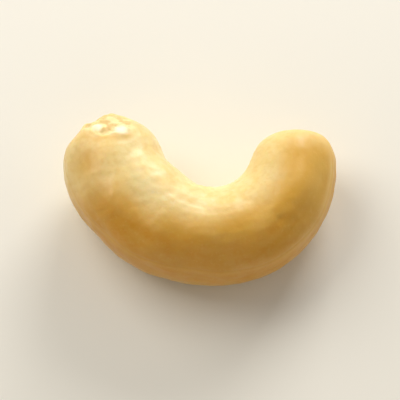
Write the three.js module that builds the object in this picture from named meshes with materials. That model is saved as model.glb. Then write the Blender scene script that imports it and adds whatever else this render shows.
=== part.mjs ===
// A shelled cashew kernel, lying on its flat side.
//
// The kernel is one grown body: two thick seed leaves that meet along a seam, curled into a
// crescent, with the scar of the root tip at the blunt end. It is built as one closed surface,
// a section carried along a curved spine, with the seam, the scar and the dents raised from it.
//
// Millimetres, +Z up. The bay of the crescent opens towards +Y, the blunt root end is on the left,
// and the origin is on the table, under the middle of the kernel's box.

import * as THREE from "three";
import { mergeVertices } from "three/addons/utils/BufferGeometryUtils.js";

// The kernel's overall length. The whole drawing below is scaled to it when it is done.
const LENGTH = 26;

// Stations along the spine, from the blunt root end round the back to the narrow end.
// x, y, z: the spine's own place. out, in: half widths to the convex and to the hollow side.
// up, down: half thicknesses. They are control points of a smooth spline.
const STATIONS = [
  { x: -7.7, y: 8.6, z: 1.3, out: 2.0, in: 5.2, up: 3.2, down: 4.4 },
  { x: -8.2, y: 5.5, z: 0.8, out: 5.15, in: 4.9, up: 4.3, down: 5.3 },
  { x: -7.5, y: 2.0, z: 0.3, out: 4.6, in: 4.8, up: 5.0, down: 5.7 },
  { x: -4.6, y: -1.5, z: 0.0, out: 4.6, in: 5.3, up: 5.1, down: 4.55 },
  { x: 0.4, y: -3.6, z: 0.0, out: 3.85, in: 4.6, up: 4.9, down: 5.35 },
  { x: 5.2, y: -2.75, z: 0.0, out: 4.45, in: 4.7, up: 4.6, down: 4.55 },
  { x: 8.4, y: 0.4, z: 0.1, out: 4.1, in: 4.5, up: 4.3, down: 5.4 },
  { x: 9.7, y: 4.4, z: 0.3, out: 3.8, in: 4.3, up: 4.1, down: 5.2 },
  { x: 9.6, y: 7.4, z: 0.4, out: 3.6, in: 4.7, up: 3.5, down: 3.9 },
];

// How blunt each end is: the power in the curve that closes the body towards its tips.
const BLUNT_ROOT = 7;
const BLUNT_NARROW = 9;

// How square the section is above and below its middle; 2 would be an ellipse.
const SQUARE_UP = 2.15;
const SQUARE_DOWN = 2.5;

// The narrow end is twisted, so that its seam turns up.
const TWIST_NARROW = THREE.MathUtils.degToRad(20);

// The seam between the seed leaves: its height above the middle of the section, on the convex
// side from the root, from where it falls to the narrow end, and on the hollow side. The places
// where something changes along the kernel are shares of its spine, and so are their lengths.
const SEAM_AT_ROOT = 1.9;
const SEAM_AT_NARROW = 0.7;
const SEAM_FALLS_AT = 0.68;
const SEAM_FALLS_OVER = 0.1;
const SEAM_IN_HOLLOW = 0.7;
const SEAM_DEPTH = 0.07;
const SEAM_WIDTH = 0.28;
// How deep the groove is on the hollow side, as a share of its depth on the convex side.
const SEAM_SHARE_IN_HOLLOW = 0.5;
// The lower seed leaf stands a little proud of the upper one along the convex side.
const LIP_HEIGHT = 0.05;
const LIP_REACH = 1.0;
// Over the seam the side of the narrow end is pinched in, which leaves the seam as an edge.
const PINCH_STARTS_AT = 0.72;
const PINCH_STARTS_OVER = 0.08;
const PINCH_DEPTH = 0.28;
const PINCH_ABOVE = 1.8;
const PINCH_WIDTH = 1.3;

// The root scar: a shallow torn oval on the top of the blunt end, with a ragged rim.
const SCAR = { x: -8.3, y: 7.1, halfLength: 2.3, halfWidth: 1.6 };
const SCAR_LOWEST = 2.5;
const SCAR_FADE = 0.8;
const SCAR_DEPTH = 0.25;
const SCAR_EDGE = 0.25;
const SCAR_RIM = 0.1;
const SCAR_RIM_WIDTH = 0.28;
const SCAR_RAGGED = 0.6;
const SCAR_GRAIN = 0.09;
// Crumbs of torn tissue in it, as crossed waves of about 1.5 mm: see WAVES.
const CRUMBS = [
  { height: 0.5, x: 3.4, y: 3.9, z: -0.8, start: -0.6 },
  { height: 0.5, x: 3.4, y: -3.9, z: 3.4, start: 0.6 },
  { height: 0.5, x: 5.1, y: -2.0, z: 0.0, start: 2.0 },
];

// Dents and swellings that give this kernel its own shape; a negative height is a hollow.
const DENTS = [
  { name: "notch in the scar's rim", x: -9.8, y: 7.8, z: 2.5, radius: 0.5, height: -0.45 },
  { name: "chip beside the notch", x: -10.4, y: 7.3, z: 2.7, radius: 0.5, height: 0.2 },
  { name: "left chip of the rim", x: -9.3, y: 6.6, z: 4.3, radius: 0.5, height: 0.16 },
  { name: "right chip of the rim", x: -7.1, y: 5.8, z: 4.5, radius: 0.6, height: 0.16 },
  { name: "thumbprint on the blunt end", x: -10.6, y: 3.2, z: 4.2, radius: 1.4, height: -0.22 },
  { name: "flat corner of the blunt end", x: -11.8, y: 6.7, z: 2.1, radius: 1.5, height: -0.35 },
  { name: "flat under the blunt end", x: -9.4, y: -2.9, z: -1.6, radius: 2.4, height: -0.3 },
  { name: "shoulder beside the thumbprint", x: -7.9, y: 4.0, z: 5.2, radius: 2.0, height: 0.12 },
  { name: "flat on the left of the belly", x: -5.9, y: -1.2, z: 5.0, radius: 2.2, height: -0.2 },
  { name: "swelling by the hollow side", x: -3.2, y: 1.4, z: 4.4, radius: 1.8, height: 0.14 },
  { name: "facet of the narrow end", x: 10.9, y: 2.8, z: 3.2, radius: 2.2, height: -0.28 },
  { name: "pit on the narrow side", x: 7.9, y: -2.7, z: 4.2, radius: 0.4, height: -0.1 },
];

// Slow waves over the upper skin: height in mm, and how fast each runs along x, y and z.
const WAVES = [
  { height: 0.09, x: 0.62, y: 0.35, z: 0.2, start: 0.4 },
  { height: 0.06, x: -0.45, y: 0.85, z: 0.7, start: 2.1 },
  { height: 0.04, x: 1.25, y: -0.9, z: 1.1, start: 4.0 },
];

// What the table takes off the underside: three small flats round the weight.
const REST_FLAT = 0.12;

// The mesh: rows along the spine, columns round the section, gathered towards the seam.
const ROWS = 84;
const COLUMNS = 56;
const GATHER_AT_SEAM = 0.6;
// How far apart two points are, as a share, for the slope between them.
const STEP_FOR_SLOPES = 1e-3;
// Points nearer to each other than this are one.
const MERGE_WITHIN = 1e-4;

const square = (x) => x * x;
const bell = (x) => Math.exp(-square(x));
const rise = (x) => (1 + Math.tanh(x)) / 2;
const mix = (a, b, share) => a + (b - a) * share;

// The control values of one spline: the stations' own, and one more before and after them.
function controls(value) {
  const v = STATIONS.map((station) => station[value]);
  const last = v.length - 1;
  return [2 * v[0] - v[1], ...v, 2 * v[last] - v[last - 1]];
}
const splines = {};
for (const value of Object.keys(STATIONS[0])) splines[value] = controls(value);

// A uniform cubic B-spline over one value of the stations; it meets the first and the last.
function along(value, t) {
  const v = splines[value];
  const spans = v.length - 3;
  const place = THREE.MathUtils.clamp(t, 0, 1) * spans;
  const i = Math.min(Math.floor(place), spans - 1);
  const f = place - i;
  return (
    (v[i] * (1 - f) ** 3 +
      v[i + 1] * (3 * f ** 3 - 6 * f ** 2 + 4) +
      v[i + 2] * (-3 * f ** 3 + 3 * f ** 2 + 3 * f + 1) +
      v[i + 3] * f ** 3) /
    6
  );
}

// The spine's place and its two cross directions at t: away from the hollow, and up.
function spineAt(t) {
  const ahead = Math.min(t + STEP_FOR_SLOPES, 1);
  const behind = Math.max(t - STEP_FOR_SLOPES, 0);
  const slope = new THREE.Vector3(
    along("x", ahead) - along("x", behind),
    along("y", ahead) - along("y", behind),
    0,
  ).normalize();
  const twist = TWIST_NARROW * square(Math.max(0, 2 * t - 1));
  const flatOut = new THREE.Vector3(slope.y, -slope.x, 0);
  const out = flatOut.clone().multiplyScalar(Math.cos(twist));
  out.z = Math.sin(twist);
  const up = flatOut.clone().multiplyScalar(-Math.sin(twist));
  up.z = Math.cos(twist);
  const centre = new THREE.Vector3(along("x", t), along("y", t), along("z", t));
  return { centre, slope, out, up };
}

// Rows crowd towards the tips, where the body closes.
const spineShare = (s) => (1 - Math.cos(Math.PI * s)) / 2;

// How far the body has opened at t: 0 at both tips and 1 between them.
function openness(t) {
  const power = t < 0.5 ? BLUNT_ROOT : BLUNT_NARROW;
  return Math.sqrt(Math.max(0, 1 - Math.abs(2 * t - 1) ** power));
}

// How far the seam lies above the middle of the section, on the convex side.
function seamHeight(t) {
  return mix(SEAM_AT_ROOT, SEAM_AT_NARROW, rise((t - SEAM_FALLS_AT) / SEAM_FALLS_OVER));
}

// The angle of a column round the section at t; columns gather at the seam on both sides.
function columnAngle(turn, t) {
  const half = along("up", t);
  const outerShare = (1 + Math.cos(turn)) / 2;
  const lift = mix(-SEAM_IN_HOLLOW, seamHeight(t), outerShare) / half;
  return turn - (GATHER_AT_SEAM / 2) * Math.sin(2 * turn) + lift;
}

// How much a direction round the section belongs to the convex side, or to the top: 0 to 1.
const shareOf = (cosineOrSine) => (1 + Math.sin((Math.PI / 2) * cosineOrSine)) / 2;

// The plain body at s along it and at an angle round it: a rounded square section whose four
// half sizes run into each other smoothly, scaled down towards the tips.
function bodyPoint(s, angle) {
  const t = spineShare(s);
  const { centre, out, up } = spineAt(t);
  const c = Math.cos(angle);
  const h = Math.sin(angle);
  const power = mix(SQUARE_DOWN, SQUARE_UP, shareOf(h));
  const reach = openness(t) / (Math.abs(c) ** power + Math.abs(h) ** power) ** (1 / power);
  const wide = reach * c * mix(along("in", t), along("out", t), shareOf(c));
  const tall = reach * h * mix(along("down", t), along("up", t), shareOf(h));
  const point = centre.clone().addScaledVector(out, wide).addScaledVector(up, tall);
  return { point, tall, t };
}

// The direction straight out of the skin, from its slopes along and round the body.
function skinNormal(s, angle) {
  if (s <= 0 || s >= 1) {
    const { slope } = spineAt(s);
    return slope.multiplyScalar(s <= 0 ? -1 : 1);
  }
  const e = STEP_FOR_SLOPES;
  const lengthwise = bodyPoint(Math.min(s + e, 1), angle).point.sub(
    bodyPoint(Math.max(s - e, 0), angle).point,
  );
  const round = bodyPoint(s, angle + e).point.sub(bodyPoint(s, angle - e).point);
  return lengthwise.cross(round).normalize();
}

// The seam: a fine groove, and under it, on the convex side, the lip of the lower seed leaf, with
// the pinch over it at the narrow end.
function seamRelief(tall, t, outerShare) {
  const above = tall - mix(SEAM_IN_HOLLOW, seamHeight(t), outerShare) * openness(t);
  const groove = -SEAM_DEPTH * bell(above / SEAM_WIDTH) * mix(SEAM_SHARE_IN_HOLLOW, 1, outerShare);
  const step = rise(-above / (SEAM_WIDTH / 2)) * bell(above / LIP_REACH);
  const narrowEnd = rise((t - PINCH_STARTS_AT) / PINCH_STARTS_OVER);
  const pinched = bell((above - PINCH_ABOVE) / PINCH_WIDTH) * square(outerShare) * narrowEnd;
  const height = groove + LIP_HEIGHT * outerShare * step - PINCH_DEPTH * pinched;
  return height * square(openness(t));
}

// The height at a point of plane waves that cross each other.
function waveSum(waves, p) {
  const heights = waves.map((wave) => {
    return wave.height * Math.sin(wave.x * p.x + wave.y * p.y + wave.z * p.z + wave.start);
  });
  return heights.reduce((sum, height) => sum + height, 0);
}

// The root scar: a ragged rim round a shallow floor, only on the top of the blunt end.
function scarRelief(p) {
  const from = Math.hypot((p.x - SCAR.x) / SCAR.halfLength, (p.y - SCAR.y) / SCAR.halfWidth);
  const within = rise((1 - from) / SCAR_EDGE);
  const crumbs = waveSum(CRUMBS, p);
  const rim = SCAR_RIM * bell((from - 1) / SCAR_RIM_WIDTH) * (1 + SCAR_RAGGED * crumbs);
  const floor = (SCAR_GRAIN * crumbs - SCAR_DEPTH) * within;
  return (rim + floor) * rise((p.z - SCAR_LOWEST) / SCAR_FADE);
}

function dentRelief(p) {
  const heights = DENTS.map((dent) => {
    const middle = new THREE.Vector3(dent.x, dent.y, dent.z);
    return dent.height * bell(p.distanceTo(middle) / dent.radius);
  });
  return heights.reduce((sum, height) => sum + height, 0);
}

// A finished point of the skin.
function skinPoint(s, angle) {
  const { point, tall, t } = bodyPoint(s, angle);
  const seam = seamRelief(tall, t, shareOf(Math.cos(angle)));
  const waves = waveSum(WAVES, point) * shareOf(Math.sin(angle));
  const height = seam + scarRelief(point) + dentRelief(point) + waves;
  return point.clone().addScaledVector(skinNormal(s, angle), height);
}

const turnOf = (column) => (2 * Math.PI * column) / COLUMNS;

// The closed skin: one tip, the rows of the body, and the other tip.
function kernelSkin() {
  const points = [skinPoint(0, 0)];
  for (let row = 1; row < ROWS; row += 1)
    for (let column = 0; column < COLUMNS; column += 1)
      points.push(skinPoint(row / ROWS, columnAngle(turnOf(column), spineShare(row / ROWS))));
  points.push(skinPoint(1, 0));

  const at = (row, column) => 1 + (row - 1) * COLUMNS + (column % COLUMNS);
  const last = points.length - 1;
  const faces = [];
  for (let column = 0; column < COLUMNS; column += 1) {
    faces.push(0, at(1, column), at(1, column + 1));
    faces.push(last, at(ROWS - 1, column + 1), at(ROWS - 1, column));
    for (let row = 1; row < ROWS - 1; row += 1) {
      const [a, b] = [at(row, column), at(row, column + 1)];
      const [c, d] = [at(row + 1, column + 1), at(row + 1, column)];
      faces.push(a, c, b, a, d, c);
    }
  }
  return { points, faces };
}

// Scales the drawing to its length, flattens the underside where it would sink into the table,
// and moves the origin there.
function restOnTable(points) {
  const drawn = new THREE.Box3().setFromPoints(points);
  const scale = LENGTH / (drawn.max.x - drawn.min.x);
  const middle = drawn.getCenter(new THREE.Vector3());
  for (const p of points) {
    const overTable = (p.z - drawn.min.z) * scale - REST_FLAT;
    p.set((p.x - middle.x) * scale, (p.y - middle.y) * scale, Math.max(overTable, 0));
  }
}

function kernelGeometry() {
  const { points, faces } = kernelSkin();
  restOnTable(points);
  const geometry = new THREE.BufferGeometry().setFromPoints(points);
  geometry.setIndex(faces);
  const closed = mergeVertices(geometry, MERGE_WITHIN);
  closed.computeVertexNormals();
  return closed;
}

const seedFlesh = new THREE.MeshStandardMaterial({
  name: "seed_flesh",
  color: 0xe6c88c,
  roughness: 0.42,
  metalness: 0,
});

const kernel = new THREE.Mesh(kernelGeometry(), seedFlesh);
kernel.name = "kernel";

const cashew = new THREE.Group();
cashew.name = "cashew_kernel";
cashew.add(kernel);

export default cashew;
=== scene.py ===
# Looks of one shelled cashew kernel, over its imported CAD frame. It lies on its side: the curl
# opens towards +Y, and the blunt root end is at -X.

import bpy
import numpy as np
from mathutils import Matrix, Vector


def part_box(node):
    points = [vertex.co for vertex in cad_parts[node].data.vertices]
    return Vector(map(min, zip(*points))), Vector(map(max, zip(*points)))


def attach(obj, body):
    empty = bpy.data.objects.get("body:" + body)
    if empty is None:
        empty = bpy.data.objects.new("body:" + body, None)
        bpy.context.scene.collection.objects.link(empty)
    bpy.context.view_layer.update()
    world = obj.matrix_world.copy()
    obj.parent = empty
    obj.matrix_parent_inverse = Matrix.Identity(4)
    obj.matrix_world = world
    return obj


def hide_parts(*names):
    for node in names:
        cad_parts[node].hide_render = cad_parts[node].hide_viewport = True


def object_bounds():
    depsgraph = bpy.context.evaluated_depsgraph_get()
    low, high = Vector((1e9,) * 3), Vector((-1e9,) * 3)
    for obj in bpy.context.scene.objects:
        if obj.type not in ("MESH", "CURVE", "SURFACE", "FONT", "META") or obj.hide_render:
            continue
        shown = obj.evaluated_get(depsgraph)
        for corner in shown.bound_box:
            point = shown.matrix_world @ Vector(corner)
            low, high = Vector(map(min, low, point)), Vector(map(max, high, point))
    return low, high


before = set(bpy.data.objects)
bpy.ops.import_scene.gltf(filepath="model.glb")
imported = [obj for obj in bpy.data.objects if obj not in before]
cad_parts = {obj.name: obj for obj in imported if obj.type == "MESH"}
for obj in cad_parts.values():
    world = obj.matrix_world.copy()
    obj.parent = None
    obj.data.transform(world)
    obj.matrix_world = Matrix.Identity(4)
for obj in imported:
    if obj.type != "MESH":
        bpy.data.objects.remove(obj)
cad_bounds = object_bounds()

# The kernel
# Two thick seed leaves, grown together and blanched, curled into a crescent. They meet along a
# seam that runs round the back, and the root tip has broken off the blunt end and left a scar.

# It is drawn in millimetres, and MM makes metres of them.
MM = 0.001

# Places on the spine, from the root end round the back to the narrow end, and the half sizes
# of the section there: away from the hollow, into it, up and down.
SPINE_X = [-7.7, -8.2, -7.5, -4.6, 0.4, 5.2, 8.4, 9.7, 9.6]
SPINE_Y = [8.6, 5.5, 2.0, -1.5, -3.6, -2.75, 0.4, 4.4, 7.4]
SPINE_Z = [1.3, 0.8, 0.3, 0.0, 0.0, 0.0, 0.1, 0.3, 0.4]
HALF_OUT = [2.0, 5.15, 4.6, 4.6, 3.85, 4.45, 4.1, 3.8, 3.6]
HALF_IN = [5.2, 4.9, 4.8, 5.3, 4.6, 4.7, 4.5, 4.3, 4.7]
HALF_UP = [3.2, 4.3, 5.0, 5.1, 4.9, 4.6, 4.3, 4.1, 3.5]
HALF_DOWN = [4.4, 5.3, 5.7, 4.55, 5.35, 4.55, 5.4, 5.2, 3.9]

# How blunt the two ends are, how square the section is above and below, how far it is turned at
# the narrow end, and how deep the kernel is cut flat where it rests.
BLUNT_ROOT = 7.0
BLUNT_NARROW = 9.0
SQUARE_UP = 2.15
SQUARE_DOWN = 2.5
TWIST_NARROW = np.radians(20)
REST_FLAT = 0.12
# Small numbers for slopes taken by differences.
STEP_FOR_SLOPES = 1e-3
SHORTEST_NORMAL = 1e-12


def bell(x):
    """1 at zero, falling to nothing on both sides: e to the minus x squared."""
    return np.exp(-(x**2))


def rise(x):
    """0 well below zero and 1 well above it, by the hyperbolic tangent."""
    return (1 + np.tanh(x)) / 2


def near(x, place):
    """1 at a place, falling to nothing beside it. A place is a value and a width."""
    value, width = place
    return bell((x - value) / width)


def past(x, edge):
    """0 well below an edge and 1 well above it. An edge is a value and a softness, and a softness
    below zero turns it round."""
    value, softness = edge
    return rise((x - value) / softness)


def mix(a, b, share):
    """a where share is 0, b where it is 1."""
    return a + (b - a) * share


def along(values, t):
    """A uniform cubic B-spline over the values, with one more put before and after them, so that
    it meets the first at t = 0 and the last at t = 1."""
    v = np.array([2 * values[0] - values[1], *values, 2 * values[-1] - values[-2]])
    spans = len(v) - 3
    place = np.clip(t, 0, 1) * spans
    i = np.minimum(place.astype(int), spans - 1)
    f = place - i
    before = v[i] * (1 - f) ** 3 + v[i + 1] * (3 * f**3 - 6 * f**2 + 4)
    after = v[i + 2] * (-3 * f**3 + 3 * f**2 + 3 * f + 1) + v[i + 3] * f**3
    return (before + after) / 6


def share_of(cosine_or_sine):
    """How much a direction round the section belongs to the convex side, or to the top."""
    return (1 + np.sin(np.pi / 2 * cosine_or_sine)) / 2


def spine_share(s):
    """Rows crowd towards the tips, where the body closes: half of one less the cosine."""
    return (1 - np.cos(np.pi * s)) / 2


def kernel_body(s, angle):
    """The plain body: a rounded square section, whose four half sizes run into each other, set
    across a spine in the crescent's plane. It opens from nothing at each tip as the root of one
    less a high power of the distance from the middle."""
    t = spine_share(s)
    slope_x = along(SPINE_X, t + STEP_FOR_SLOPES) - along(SPINE_X, t - STEP_FOR_SLOPES)
    slope_y = along(SPINE_Y, t + STEP_FOR_SLOPES) - along(SPINE_Y, t - STEP_FOR_SLOPES)
    length = np.hypot(slope_x, slope_y)
    out_x, out_y = slope_y / length, -slope_x / length
    twist = TWIST_NARROW * np.maximum(0, 2 * t - 1) ** 2
    power_along = np.where(t < 0.5, BLUNT_ROOT, BLUNT_NARROW)
    openness = np.sqrt(np.maximum(0, 1 - np.abs(2 * t - 1) ** power_along))
    c, h = np.cos(angle), np.sin(angle)
    convex, upper = share_of(c), share_of(h)
    power = mix(SQUARE_DOWN, SQUARE_UP, upper)
    reach = openness / (np.abs(c) ** power + np.abs(h) ** power) ** (1 / power)
    wide = reach * c * mix(along(HALF_IN, t), along(HALF_OUT, t), convex)
    tall = reach * h * mix(along(HALF_DOWN, t), along(HALF_UP, t), upper)
    flat = wide * np.cos(twist) - tall * np.sin(twist)
    x = along(SPINE_X, t) + flat * out_x
    y = along(SPINE_Y, t) + flat * out_y
    z = along(SPINE_Z, t) + wide * np.sin(twist) + tall * np.cos(twist)
    return np.stack([x, y, z], axis=-1), tall, t, openness, convex, upper


def kernel_normals(s, angle):
    """Straight out of the body: its slope along the spine crossed with its slope round it."""
    e = STEP_FOR_SLOPES
    ahead, behind = np.minimum(s + e, 1), np.maximum(s - e, 0)
    lengthwise = kernel_body(ahead, angle)[0] - kernel_body(behind, angle)[0]
    around = kernel_body(s, angle + e)[0] - kernel_body(s, angle - e)[0]
    normals = np.cross(lengthwise, around)
    return normals / np.maximum(np.linalg.norm(normals, axis=-1, keepdims=True), SHORTEST_NORMAL)


def waves(points, rows):
    """Plane waves that cross each other: each row is a height, how fast the wave runs along x, y
    and z, and where it starts."""
    total = np.zeros(points.shape[:-1])
    for height, x, y, z, start in rows:
        total += height * np.sin(points @ np.array([x, y, z]) + start)
    return total


# An uneven field is a sum of this many waves, whose lengths vary this much. Their sum is divided
# by the last number, so that it seldom goes beyond plus or minus one.
WAVES_IN_FIELD = 24
SHORTEST_WAVE, LONGEST_WAVE = 0.75, 1.5
FIELD_REACH = 1.5


def roughly(points, length, seed):
    """An uneven field of about plus or minus one, with bumps about this length across: many
    waves of that length in random directions, with the same seed each run."""
    random = np.random.default_rng(seed)
    directions = random.normal(size=(WAVES_IN_FIELD, 3))
    directions /= np.linalg.norm(directions, axis=1, keepdims=True)
    speeds = 2 * np.pi / (length * random.uniform(SHORTEST_WAVE, LONGEST_WAVE, WAVES_IN_FIELD))
    starts = random.uniform(0, 2 * np.pi, WAVES_IN_FIELD)
    total = np.sin(points @ (directions * speeds[:, None]).T + starts).sum(axis=-1)
    return total * np.sqrt(2 / WAVES_IN_FIELD) / FIELD_REACH


def spot(points, x, y, z, radius):
    """1 at a place on the skin, falling to nothing about twice this radius away."""
    return bell(np.linalg.norm(points - np.array([x, y, z]), axis=-1) / radius)


# The seam: a fine groove, and under it the lip of the lower seed leaf, which stands a little
# proud round the back and most at the narrow end. Here and below, a pair of numbers is an edge
# for past or a place for near.
SEAM_AT_ROOT = 1.9
SEAM_AT_NARROW = 0.7
SEAM_FALLS = (0.68, 0.1)
SEAM_IN_HOLLOW = 0.7
SEAM_DEPTH = 0.03
SEAM_WIDTH = 0.15
SEAM_LEFT_IN_HOLLOW = 0.4
LIP_AT_ROOT = 0.015
LIP_AT_NARROW = 0.06
LIP_REACH = 0.7
NARROW_END_STARTS = (0.72, 0.08)
PINCH_DEPTH = 0.28
PINCH_ABOVE_SEAM = (1.8, 1.3)


def seam_height(t):
    """How far the seam lies above the middle of the section, on the convex side."""
    return mix(SEAM_AT_ROOT, SEAM_AT_NARROW, past(t, SEAM_FALLS))


def height_over_seam(tall, t, openness, convex):
    """How far above the seam a point of the section is."""
    return tall - mix(SEAM_IN_HOLLOW, seam_height(t), convex) * openness


def narrow_end(t):
    """0 along most of the kernel and 1 at its narrow end."""
    return past(t, NARROW_END_STARTS)


def seam_relief(above, t, openness, convex):
    """The groove is a bell across the seam, and the lip is a step below it that dies away. Over
    the seam, round the narrow end, the side is pinched in, which leaves the seam as an edge."""
    groove = -SEAM_DEPTH * bell(above / SEAM_WIDTH) * mix(SEAM_LEFT_IN_HOLLOW, 1, convex)
    step = rise(-above / (SEAM_WIDTH / 2)) * bell(above / LIP_REACH)
    lip = mix(LIP_AT_ROOT, LIP_AT_NARROW, t**2) * convex * step
    pinch = -PINCH_DEPTH * near(above, PINCH_ABOVE_SEAM) * convex**2 * narrow_end(t)
    return (groove + lip + pinch) * openness**2


# The root scar: a torn oval on the top of the blunt end, ragged at its rim and crumbly inside.
SCAR_X, SCAR_Y = -8.3, 7.1
SCAR_HALF_LENGTH, SCAR_HALF_WIDTH = 2.3, 1.6
SCAR_LOWEST = (2.5, 0.8)
SCAR_DEPTH = 0.2
SCAR_EDGE = (1, -0.12)
RIM_HEIGHT = 0.07
RIM_RAISED = (1, 0.14)
RIM_UNEVEN = 0.8
RIM_TINTED = (1, 0.2)
# Painted shade: a warmer, darker band on the sound skin just beyond the rim.
SHADE_BAND_ROUND_RIM = (1.35, 0.2)
TEAR_SIZE = 1.6
TEAR_SHARE = 0.1
CRUMB_SIZE = 1.2
CRUMB_HEIGHT = 0.09


def scar_distance(points):
    """How far out from the middle of the scar, as a share of its half sizes, with a torn outline."""
    across = (points[..., 0] - SCAR_X) / SCAR_HALF_LENGTH
    deep = (points[..., 1] - SCAR_Y) / SCAR_HALF_WIDTH
    return np.hypot(across, deep) + TEAR_SHARE * roughly(points, TEAR_SIZE, seed=11)


def scar_relief(points):
    """A ragged rim round a shallow floor of crumbs, only on the top of the blunt end. Returned with
    it are where the floor is, the rim, and a band of sound skin beyond the rim, which is given
    painted shade."""
    out = scar_distance(points)
    within = past(out, SCAR_EDGE)
    crumbs = roughly(points, CRUMB_SIZE, seed=12)
    rim = RIM_HEIGHT * near(out, RIM_RAISED) * (1 + RIM_UNEVEN * crumbs)
    floor = (CRUMB_HEIGHT * np.abs(crumbs) - SCAR_DEPTH) * within
    on_top = past(points[..., 2], SCAR_LOWEST)
    torn, torn_rim, torn_band_shade = within, near(out, RIM_TINTED), near(out, SHADE_BAND_ROUND_RIM)
    return (rim + floor) * on_top, torn * on_top, torn_rim * on_top, torn_band_shade * on_top


# Dents and swellings that this kernel has, each a place, a radius and a height.
DENTS = [
    (-9.8, 7.8, 2.5, 0.5, -0.45),  # the notch in the rim of the scar
    (-10.4, 7.3, 2.7, 0.5, 0.2),  # the lump beside the notch
    (-9.3, 6.6, 4.3, 0.5, 0.16),  # the left chip
    (-7.1, 5.8, 4.5, 0.6, 0.16),  # the right chip
    (-10.6, 3.2, 4.2, 1.4, -0.22),  # the thumbprint
    (-11.8, 6.7, 2.1, 1.5, -0.35),  # the flat corner of the blunt end
    (-9.4, -2.9, -1.6, 2.4, -0.3),  # the flat under the blunt end
    (-7.9, 4.0, 5.2, 2.0, 0.12),  # the shoulder beside the thumbprint
    (-5.9, -1.2, 5.0, 2.2, -0.2),  # the flat on the left of the belly
    (-3.2, 1.4, 4.4, 1.8, 0.14),  # the swelling along the hollow
    (10.9, 2.8, 3.2, 2.2, -0.28),  # the facet of the narrow end
    (7.9, -2.7, 4.2, 0.4, -0.1),  # the pit on the narrow side
]
# Slow waves over the upper skin: height, speed along x, y and z, and start.
SLOW_WAVES = [
    (0.09, 0.62, 0.35, 0.2, 0.4),
    (0.06, -0.45, 0.85, 0.7, 2.1),
    (0.04, 1.25, -0.9, 1.1, 4.0),
]
# Low puckers across the hollow side, where the skin was squeezed as the seed curled. They wander
# along the spine, lag behind one another, and come and go in patches.
PUCKER_LENGTH = 1.2
PUCKER_HEIGHT = 0.02
PUCKER_LAG, PUCKER_LAG_SIZE = 1.8, 3.0
PUCKER_FINE_LAG, PUCKER_FINE_LAG_SIZE = 0.8, 1.3
PUCKER_PATCH_SIZE, PUCKER_PATCH_EDGE = 2.5, (0, 0.6)
PUCKERS_ROUND = (0.06, -0.03)
PUCKERS_FROM, PUCKERS_TO = (0.12, 0.04), (0.86, -0.04)
PUCKERS_ABOVE = (0, 1.8)
WANDER, WANDER_SIZE = 0.5, 5.0
# Faint ripples across the back, in patches too.
RIPPLE_LENGTH = 1.9
RIPPLE_HEIGHT = 0.02
RIPPLE_LAG, RIPPLE_LAG_SIZE = 1.5, 4.0
RIPPLE_PATCH_SIZE = 4.5
RIPPLES_ROUND = (0.7, 0.12)
# A low unevenness all over, coarse and fine, and calmer at the narrow end.
COARSE_HEIGHT, COARSE_SIZE = 0.03, 2.6
FINE_HEIGHT, FINE_SIZE = 0.012, 0.9
LEFT_AT_NARROW_END = 0.4
# Fine streaks that run along the kernel, drawn out this many times.
GRAIN_SIZE = 0.9
GRAIN_HEIGHT = 0.012
GRAIN_DRAWN_OUT = 4
GRAIN_ON_BACK = 0.3
GRAIN_WEAKENS = (0.5, 0.15)
SPINE_LENGTH = 36.0
GIRTH_RADIUS = 5.0


def along_the_grain(t, angle, length, seed):
    """The same uneven field, on the kernel unrolled round a straight axis and drawn out along it."""
    way = t * SPINE_LENGTH / GRAIN_DRAWN_OUT
    unrolled = np.stack([way, GIRTH_RADIUS * np.cos(angle), GIRTH_RADIUS * np.sin(angle)], axis=-1)
    return roughly(unrolled, length, seed)


def skin_relief(points, above, t, convex, upper):
    """Dents, slow waves, puckers across the hollow side, ripples across the back, and a fine
    unevenness all over."""
    height = sum(tall * spot(points, x, y, z, radius) for x, y, z, radius, tall in DENTS)
    height = height + waves(points, SLOW_WAVES) * upper
    way = t * SPINE_LENGTH + WANDER * roughly(points, WANDER_SIZE, seed=21)
    lag = PUCKER_LAG * roughly(points, PUCKER_LAG_SIZE, seed=22)
    lag = lag + PUCKER_FINE_LAG * roughly(points, PUCKER_FINE_LAG_SIZE, seed=28)
    puckers = np.sin(2 * np.pi * way / PUCKER_LENGTH + lag)
    ripple_lag = RIPPLE_LAG * roughly(points, RIPPLE_LAG_SIZE, seed=23)
    ripples = np.sin(2 * np.pi * way / RIPPLE_LENGTH + ripple_lag)
    hollow_side = past(convex, PUCKERS_ROUND) * past(t, PUCKERS_FROM) * past(t, PUCKERS_TO)
    hollow_side = hollow_side * near(above, PUCKERS_ABOVE)
    pucker_patches = past(roughly(points, PUCKER_PATCH_SIZE, seed=24), PUCKER_PATCH_EDGE)
    height = height + PUCKER_HEIGHT * puckers * hollow_side * pucker_patches
    ripple_patches = rise(roughly(points, RIPPLE_PATCH_SIZE, seed=25))
    height = height + RIPPLE_HEIGHT * ripples * past(convex, RIPPLES_ROUND) * ripple_patches
    coarse = COARSE_HEIGHT * roughly(points, COARSE_SIZE, seed=26)
    fine = FINE_HEIGHT * roughly(points, FINE_SIZE, seed=27)
    return height + (coarse + fine) * mix(1, LEFT_AT_NARROW_END, narrow_end(t))


# Where the tints of the skin lie, painted shade and painted highlight among them: how far along
# the spine, how far round from the hollow side to the back, and how many millimetres over the seam.
# The skin proper, away from the closed tips, and the last part of the narrow end.
OPEN_SKIN = (0.72, 0.1)
NARROW_TIP = (0.905, 0.03)
# Amber covers the back from here on: on the root half, past the middle, and at the narrow end.
# It is a little real tan, and mostly painted shade and warm bounced light.
AMBER_FROM_ON_ROOT_HALF = 0.60
AMBER_FROM_PAST_MIDDLE = 0.38
AMBER_FROM_AT_NARROW_END = 0.46
AMBER_SOFTNESS = 0.15
PAST_MIDDLE = (0.46, 0.08)
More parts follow.
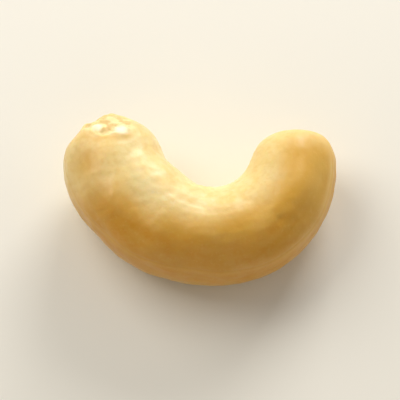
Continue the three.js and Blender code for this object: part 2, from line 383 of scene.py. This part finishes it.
# The root end stays pale up to here, below the seam and over it.
ROOT_END_BELOW_SEAM = 0.24
ROOT_END_OVER_SEAM = 0.28
ROOT_END_SOFTNESS = 0.05
OVER_SEAM = (0.4, 0.9)
# How much of the amber is left on the root end, underneath, and at the narrow tip, and how much
# there is on the two closed tips.
AMBER_ON_ROOT_END = 0.06
AMBER_UNDERNEATH = 0.6
AMBER_AT_NARROW_TIP = 0.4
AMBER_ON_ROOT_CAP = 0.28
AMBER_ON_NARROW_CAP = 0.1
NARROW_HALF = (0.5, 0.1)
ABOVE_UNDERSIDE = (-5.5, 1.0)
# Painted shade: the belly turns darker and more burnt amber where it faces away from the light.
BELLY_ROUND = (0.82, 0.08)
BELLY_ABOVE = (-3.4, 1.0)
BELLY_AT_NARROW_END = 0.65
# Painted shade: ochre on the side of the narrow end, where its facet turns from the light.
# And the amber in the thumbprint, a place and a radius.
FACET_SHADE_ABOVE = (1.9, 1.6)
FACET_SHADE_ROUND = (0.44, 0.14)
THUMBPRINT = (-10.1, 2.8, 4.3, 1.6)
# The seam, the lip under it, and the pale ridge that it makes at the narrow end. The paler lip
# and ridge are painted highlight, where the proud edge catches the light.
SEAM_TINT = (0, 0.16)
LIP_BELOW_SEAM = (-0.08, -0.1)
LIP_HIGHLIGHT = (-0.2, 0.4)
RIDGE_HIGHLIGHT = (0.15, 0.5)
# The pale ridge in the hollow, and the pale inner shoulder, which is a painted highlight where the
# gloss falls.
HOLLOW_RIDGE_ROUND = (0.04, 0.1)
HOLLOW_RIDGE_ABOVE = (0, 1.6)
SHOULDER_ROUND = (0.3, 0.1)
SHOULDER_ABOVE = (0, 0.5)
SHOULDER_ALONG = (0.38, 0.12)
# The two pale chips, each a place and a radius.
CHIPS = [(-9.3, 6.6, 4.3, 0.6), (-7.0, 6.1, 4.5, 0.75)]
CHIP_EDGE = (0.5, 0.15)


def tints(points, above, t, openness, convex):
    """How much of each tint, painted shade and painted highlight among them, there is at each point,
    from nothing to 1.
    """
    open_skin = past(openness, OPEN_SKIN)
    at_narrow_end = narrow_end(t)
    narrow_tip = past(t, NARROW_TIP)
    # Painted shade: amber round the back, over a little real tan, where the kernel turns from the
    # light.
    amber_from = mix(AMBER_FROM_ON_ROOT_HALF, AMBER_FROM_PAST_MIDDLE, past(t, PAST_MIDDLE))
    amber_from = mix(amber_from, AMBER_FROM_AT_NARROW_END, at_narrow_end)
    root_end = mix(ROOT_END_BELOW_SEAM, ROOT_END_OVER_SEAM, past(above, OVER_SEAM))
    past_root = past(t, (root_end, ROOT_END_SOFTNESS))
    amber = past(convex, (amber_from, AMBER_SOFTNESS)) * mix(AMBER_ON_ROOT_END, 1, past_root)
    amber = amber * mix(AMBER_UNDERNEATH, 1, past(above, ABOVE_UNDERSIDE))
    amber = amber * mix(1, AMBER_AT_NARROW_TIP, narrow_tip)
    on_caps = mix(AMBER_ON_ROOT_CAP, AMBER_ON_NARROW_CAP, past(t, NARROW_HALF))
    # Painted shade: the belly, which faces away from the light, is darker.
    belly_shade = past(convex, BELLY_ROUND) * past(above, BELLY_ABOVE) * open_skin * past_root
    belly_shade = belly_shade * mix(1, BELLY_AT_NARROW_END, at_narrow_end) * (1 - narrow_tip)
    # Painted shade: ochre on the facet of the narrow end, which turns from the light.
    facet_shade = near(above, FACET_SHADE_ABOVE) * past(convex, FACET_SHADE_ROUND) * at_narrow_end
    # Painted highlight: a pale band on the inner shoulder, where the gloss falls.
    shoulder_highlight = near(convex, SHOULDER_ROUND) * past(above, SHOULDER_ABOVE)
    # Painted highlight: the proud lip under the seam is paler where it catches the light.
    lip = past(above, LIP_BELOW_SEAM) * near(above, LIP_HIGHLIGHT) * convex
    return {
        "back_tan_and_shade": mix(on_caps, amber, open_skin),
        "belly_shade": belly_shade,
        "facet_shade": facet_shade * (1 - narrow_tip),
        "thumbprint": spot(points, *THUMBPRINT),
        "seam": near(above, SEAM_TINT) * openness**2,
        "lip": lip * openness**2,
        # painted highlight on the ridge of the narrow end
        "narrow_ridge_highlight": near(above, RIDGE_HIGHLIGHT) * convex * at_narrow_end * (1 - narrow_tip),
        "pale_ridge": near(convex, HOLLOW_RIDGE_ROUND) * near(above, HOLLOW_RIDGE_ABOVE),
        "shoulder_highlight": shoulder_highlight * near(t, SHOULDER_ALONG),
        "chips": past(sum(spot(points, *chip) for chip in CHIPS), CHIP_EDGE),
        "narrow_end": at_narrow_end,
    }


# Rows along the spine, and columns round it, which crowd together at the seam this much.
ROWS, COLUMNS = 360, 256
GATHER_AT_SEAM = 0.45


def kernel_mesh():
    """Rows along the spine and columns round it, raised along the normals, with one point at
    each tip. It is scaled to the CAD kernel's length and laid in its place, and flattened where
    it would sink into the table. Returns the mesh and the fields that the material reads."""
    s = np.linspace(0, 1, ROWS + 1)[1:-1, None]
    turn = np.linspace(0, 2 * np.pi, COLUMNS, endpoint=False)[None, :]
    seam_there = seam_height(spine_share(s))
    lift = mix(-SEAM_IN_HOLLOW, seam_there, (1 + np.cos(turn)) / 2) / along(HALF_UP, spine_share(s))
    angle = turn - GATHER_AT_SEAM / 2 * np.sin(2 * turn) + lift
    s, angle = np.broadcast_arrays(s, angle)
    points, tall, t, openness, convex, upper = kernel_body(s, angle)
    above = height_over_seam(tall, t, openness, convex)
    scar, torn, torn_rim, torn_band_shade = scar_relief(points)
    height = skin_relief(points, above, t, convex, upper) + scar
    height = height + seam_relief(above, t, openness, convex)
    streaks = along_the_grain(t, angle, GRAIN_SIZE, seed=31)
    finer_streaks = along_the_grain(t, angle, GRAIN_SIZE / 2, seed=32)
    inner_side = mix(1, GRAIN_ON_BACK, past(convex, GRAIN_WEAKENS)) * openness**2
    height = height + GRAIN_HEIGHT * (streaks + finer_streaks / 2) * inner_side
    skin = points + kernel_normals(s, angle) * height[..., None]

    first_tip = skin[0].mean(axis=0)
    last_tip = skin[-1].mean(axis=0)
    drawn = np.concatenate([skin.reshape(-1, 3), [first_tip, last_tip]])
    low, high = drawn.min(axis=0), drawn.max(axis=0)
    cad_low, cad_high = (np.array(corner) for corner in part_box("kernel"))
    scale = (cad_high[0] - cad_low[0]) / (high[0] - low[0])
    placed = (drawn - (low + high) / 2) * scale + (cad_low + cad_high) / 2
    over_table = (drawn[:, 2] - low[2]) * scale - REST_FLAT * MM
    placed[:, 2] = np.maximum(over_table, 0)

    rows = ROWS - 1
    row, column = np.meshgrid(np.arange(rows - 1), np.arange(COLUMNS), indexing="ij")
    here = row * COLUMNS + column
    beside = row * COLUMNS + (column + 1) % COLUMNS
    quads = np.stack([here, here + COLUMNS, beside + COLUMNS, beside], axis=-1).reshape(-1, 4)
    ring = np.arange(COLUMNS)
    next_in_ring = (ring + 1) % COLUMNS
    last_row = (rows - 1) * COLUMNS
    first_fan = np.stack([np.full(COLUMNS, rows * COLUMNS), ring, next_in_ring], axis=-1)
    last_tip_index = np.full(COLUMNS, rows * COLUMNS + 1)
    last_fan = np.stack([last_tip_index, last_row + next_in_ring, last_row + ring], axis=-1)

    mesh = bpy.data.meshes.new("kernel_skin")
    mesh.from_pydata(placed.tolist(), [], quads.tolist() + first_fan.tolist() + last_fan.tolist())
    mesh.polygons.foreach_set("use_smooth", np.ones(len(mesh.polygons), dtype=bool))

    fields = tints(points, above, t, openness, convex)
    fields.update({"torn": torn, "torn_rim": torn_rim, "torn_band_shade": torn_band_shade})
    fields["streaks"] = rise(streaks * past(openness, OPEN_SKIN))
    for name, values in fields.items():
        whole = np.concatenate([values.ravel(), [values[0].mean(), values[-1].mean()]])
        attribute = mesh.attributes.new(name, "FLOAT", "POINT")
        attribute.data.foreach_set("value", np.clip(whole, 0, 1).astype(np.float32))
    mesh.update()
    return mesh


class Nodes:
    """Short ways to add and join the nodes of one material."""

    def __init__(self, name):
        self.material = bpy.data.materials.new(name)
        self.material.use_nodes = True
        self.tree = self.material.node_tree
        self.shader = self.tree.nodes["Principled BSDF"]

    def put(self, value, socket):
        """Joins an output to a socket, or sets a plain value on it."""
        if isinstance(value, bpy.types.NodeSocket):
            self.tree.links.new(value, socket)
        else:
            socket.default_value = value

    def field(self, name):
        """One of the mesh's own fields, 0 to 1."""
        node = self.tree.nodes.new("ShaderNodeAttribute")
        node.attribute_name = name
        return node.outputs["Fac"]

    def noise(self, length_mm, detail, roughness):
        """Noise on Object coordinates, with blotches about this many millimetres across."""
        place = self.tree.nodes.new("ShaderNodeTexCoord")
        node = self.tree.nodes.new("ShaderNodeTexNoise")
        node.inputs["Scale"].default_value = 1 / (length_mm * MM)
        node.inputs["Detail"].default_value = detail
        node.inputs["Roughness"].default_value = roughness
        self.tree.links.new(place.outputs["Object"], node.inputs["Vector"])
        return node.outputs["Fac"]

    def spread(self, value, low, high, to_low=0.0, to_high=1.0):
        """Stretches low to high over a new range, and holds it there beyond them."""
        node = self.tree.nodes.new("ShaderNodeMapRange")
        node.interpolation_type = "SMOOTHSTEP"
        places = ("Value", "From Min", "From Max", "To Min", "To Max")
        for place, number in zip(places, (value, low, high, to_low, to_high)):
            self.put(number, node.inputs[place])
        return node.outputs["Result"]

    def math(self, operation, first, second):
        """One step of arithmetic."""
        node = self.tree.nodes.new("ShaderNodeMath")
        node.operation = operation
        self.put(first, node.inputs[0])
        self.put(second, node.inputs[1])
        return node.outputs["Value"]

    def blend(self, share, first, second):
        """The first colour where share is 0, and the second where it is 1."""
        node = self.tree.nodes.new("ShaderNodeMix")
        node.data_type = "RGBA"
        self.put(share, node.inputs["Factor"])
        self.put(first, node.inputs["A"])
        self.put(second, node.inputs["B"])
        return node.outputs["Result"]

    def bump(self, height, distance_mm, strength, under=None):
        """Raises the skin by a height field, over another bump if there is one."""
        node = self.tree.nodes.new("ShaderNodeBump")
        node.inputs["Strength"].default_value = strength
        node.inputs["Distance"].default_value = distance_mm * MM
        self.put(height, node.inputs["Height"])
        if under is not None:
            self.put(under, node.inputs["Normal"])
        return node.outputs["Normal"]


# Colours of the seed flesh, in linear light. Some of them also serve as painted shade and
# painted highlight, as marked where they are laid on.
CREAM = (0.88, 0.70, 0.32, 1)
GOLD = (0.83, 0.57, 0.18, 1)
# Amber is the thumbprint's own colour, and also painted shade round the back and beside the scar.
AMBER = (0.70, 0.375, 0.045, 1)
# Burnt amber is painted shade on the belly.
BURNT_AMBER = (0.66, 0.29, 0.012, 1)
PALE_GOLD = (0.88, 0.64, 0.22, 1)
IVORY = (0.93, 0.83, 0.53, 1)
CHIP_PALE = (0.96, 0.92, 0.72, 1)
TORN_PALE = (0.88, 0.72, 0.37, 1)
TORN_TAN = (0.68, 0.48, 0.19, 1)
# Ochre is the colour of the real flecks, and also painted shade on the narrow end and its facet.
OCHRE = (0.68, 0.40, 0.055, 1)
SEAM_SHADE = (0.74, 0.46, 0.15, 1)


def seed_flesh():
    """Blanched seed flesh: waxy, a little see-through, cream, with a painted highlight on the inner
    shoulder and amber round the back that is mostly painted shade, mottled where oil has come
    through, pale and dry where it is torn."""
    flesh = Nodes("seed_flesh")
    clouds = flesh.spread(flesh.noise(length_mm=4.5, detail=2.0, roughness=0.45), low=0.38, high=0.64)
    mottle = flesh.spread(flesh.noise(length_mm=1.3, detail=4.0, roughness=0.6), low=0.36, high=0.70)
    flecks = flesh.spread(flesh.noise(length_mm=0.55, detail=3.0, roughness=0.6), low=0.42, high=0.68)
    specks = flesh.spread(flesh.noise(length_mm=0.28, detail=2.0, roughness=0.5), low=0.55, high=0.75)
    cloudy = flesh.spread(clouds, low=0.0, high=1.0, to_low=0.84, to_high=1.0)
    mottled = flesh.spread(mottle, low=0.0, high=1.0, to_low=0.7, to_high=1.0)
    flecked = flesh.spread(flecks, low=0.0, high=1.0, to_low=0.25, to_high=0.6)

    # Each layer of colour over cream, painted shade and painted highlight among them: where it lies,
    # how strong it is there, and its tint.
    layers = [
        (clouds, 0.55, GOLD),
        (mottle, 0.22, IVORY),
        # painted shade: ochre over the narrow end, which turns from the light
        (flesh.field("narrow_end"), 0.25, OCHRE),
        # mostly painted shade round the back, over a little real tan
        (flesh.field("back_tan_and_shade"), cloudy, AMBER),
        # painted shade on the belly
        (flesh.field("belly_shade"), mottled, BURNT_AMBER),
        # painted shade on the facet of the narrow end
        (flesh.field("facet_shade"), 0.85, OCHRE),
        (flesh.field("thumbprint"), 0.75, AMBER),
        (specks, 0.12, PALE_GOLD),
        (flecks, 0.20, OCHRE),
        (flesh.field("streaks"), 0.10, PALE_GOLD),
        (flesh.field("pale_ridge"), 0.4, IVORY),
        # painted highlight on the inner shoulder
        (flesh.field("shoulder_highlight"), flecked, IVORY),
        # painted highlight on the lip under the seam
        (flesh.field("lip"), 0.16, PALE_GOLD),
        # painted highlight on the ridge of the narrow end
        (flesh.field("narrow_ridge_highlight"), 0.5, PALE_GOLD),
        (flesh.field("seam"), 0.15, SEAM_SHADE),
        # painted shade on the band beyond the scar's rim
        (flesh.field("torn_band_shade"), 0.35, AMBER),
    ]
    colour = CREAM
    for place, strength, tint in layers:
        colour = flesh.blend(flesh.math("MULTIPLY", place, strength), colour, tint)

    rim = flesh.math("MULTIPLY", flesh.field("torn_rim"), 0.5)
    torn = flesh.math("MAXIMUM", flesh.field("torn"), rim)
    crumbs = flesh.spread(flesh.noise(length_mm=0.9, detail=2.0, roughness=0.5), low=0.38, high=0.6)
    colour = flesh.blend(torn, colour, flesh.blend(crumbs, TORN_TAN, TORN_PALE))
    chips = flesh.math("MULTIPLY", flesh.field("chips"), 0.8)
    flesh.put(flesh.blend(chips, colour, CHIP_PALE), flesh.shader.inputs["Base Color"])

    waxing = flesh.noise(length_mm=2.2, detail=3.0, roughness=0.55)
    waxy = flesh.spread(waxing, low=0.3, high=0.7, to_low=0.32, to_high=0.44)
    dry = flesh.math("MULTIPLY", torn, 0.35)
    dull = flesh.math("MULTIPLY", flesh.field("narrow_end"), 0.12)
    roughness = flesh.math("ADD", flesh.math("ADD", waxy, dry), dull)
    flesh.put(roughness, flesh.shader.inputs["Roughness"])

    peel = flesh.noise(length_mm=0.55, detail=3.0, roughness=0.55)
    pores = flesh.noise(length_mm=0.16, detail=2.0, roughness=0.5)
    orange_peel = flesh.bump(peel, distance_mm=0.04, strength=0.5)
    fine_pores = flesh.bump(pores, distance_mm=0.012, strength=0.35, under=orange_peel)
    flesh.put(fine_pores, flesh.shader.inputs["Normal"])

    for socket, value in {
        "IOR": 1.47,
        "Specular IOR Level": 0.45,
        "Subsurface Weight": 0.35,
        "Subsurface Radius": (1.0, 0.55, 0.22),
        "Subsurface Scale": 0.9 * MM,
        "Coat Weight": 0.06,
        "Coat Roughness": 0.2,
    }.items():
        flesh.put(value, flesh.shader.inputs[socket])
    return flesh.material


kernel = bpy.data.objects.new("cashew_kernel", kernel_mesh())
bpy.context.collection.objects.link(kernel)
kernel.data.materials.append(seed_flesh())
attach(kernel, "root")
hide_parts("kernel")

# The table top
# A plain pale sheet, wide enough to fill every view.
TABLE_HALF = 600 * MM
TABLE_PALE = (0.88, 0.86, 0.80, 1)
TABLE_ROUGHNESS = 0.7
table_mesh = bpy.data.meshes.new("table_top")
corner_signs = ((-1, -1), (1, -1), (1, 1), (-1, 1))
table_corners = [(x * TABLE_HALF, y * TABLE_HALF, 0) for x, y in corner_signs]
table_mesh.from_pydata(table_corners, [], [(0, 1, 2, 3)])
table = bpy.data.objects.new("table_top", table_mesh)
bpy.context.collection.objects.link(table)
table_paint = Nodes("table_paint")
table_paint.put(TABLE_PALE, table_paint.shader.inputs["Base Color"])
table_paint.put(TABLE_ROUGHNESS, table_paint.shader.inputs["Roughness"])
table.data.materials.append(table_paint.material)

# The light
# A soft panel behind, low and to the right, draws the gloss along the inner shoulder and leaves
# the belly in half shade. A wide one stands high behind the left, weak warm ones stand in front
# and on the right, and a pale room is all round.
ROOM_PALE = (1.0, 0.98, 0.94, 1)
ROOM_STRENGTH = 0.28


def soft_panel(name, place_mm, size_mm, watts, colour):
    """A square panel of light that looks at the kernel."""
    light = bpy.data.lights.new(name, "AREA")
    light.shape = "SQUARE"
    light.size = size_mm * MM
    light.energy = watts
    light.color = colour
    panel = bpy.data.objects.new(name, light)
    panel.location = Vector(place_mm) * MM
    panel.rotation_euler = (-panel.location).to_track_quat("-Z", "Y").to_euler()
    bpy.context.collection.objects.link(panel)


soft_panel("key_panel", place_mm=(80, 226, 114), size_mm=140, watts=0.51, colour=(1.0, 0.97, 0.92))
soft_panel("left_panel", place_mm=(-150, 110, 200), size_mm=200, watts=0.42, colour=(1.0, 0.95, 0.86))
soft_panel("right_panel", place_mm=(230, 40, 70), size_mm=150, watts=0.05, colour=(1.0, 0.92, 0.76))
soft_panel("front_panel", place_mm=(20, -200, 120), size_mm=200, watts=0.05, colour=(1.0, 0.88, 0.66))

room = bpy.context.scene.world or bpy.data.worlds.new("room")
bpy.context.scene.world = room
room.use_nodes = True
room.node_tree.nodes["Background"].inputs["Color"].default_value = ROOM_PALE
room.node_tree.nodes["Background"].inputs["Strength"].default_value = ROOM_STRENGTH
bpy.context.scene.view_settings.view_transform = "Standard"

# The camera
# In the photograph the kernel leans towards the camera. Laid flat on the table, it is seen from
# the same side when the camera stands over it, and from so far off that its outline holds.
CAMERA_ELEVATION = np.radians(70)
CAMERA_DISTANCE = 400 * MM
FRAME_WIDTH = 38 * MM
SENSOR_WIDTH = 36
camera_data = bpy.data.cameras.new("camera")
camera_data.sensor_width = SENSOR_WIDTH
camera_data.lens = SENSOR_WIDTH * CAMERA_DISTANCE / FRAME_WIDTH
camera_data.clip_start = 1 * MM
camera = bpy.data.objects.new("camera", camera_data)
low, high = (Vector(corner) for corner in cad_bounds)
aim = (low + high) / 2
back_from_aim = Vector((0, -np.cos(CAMERA_ELEVATION), np.sin(CAMERA_ELEVATION)))
camera.location = aim + back_from_aim * CAMERA_DISTANCE
camera.rotation_euler = (-back_from_aim).to_track_quat("-Z", "Y").to_euler()
bpy.context.collection.objects.link(camera)
bpy.context.scene.camera = camera
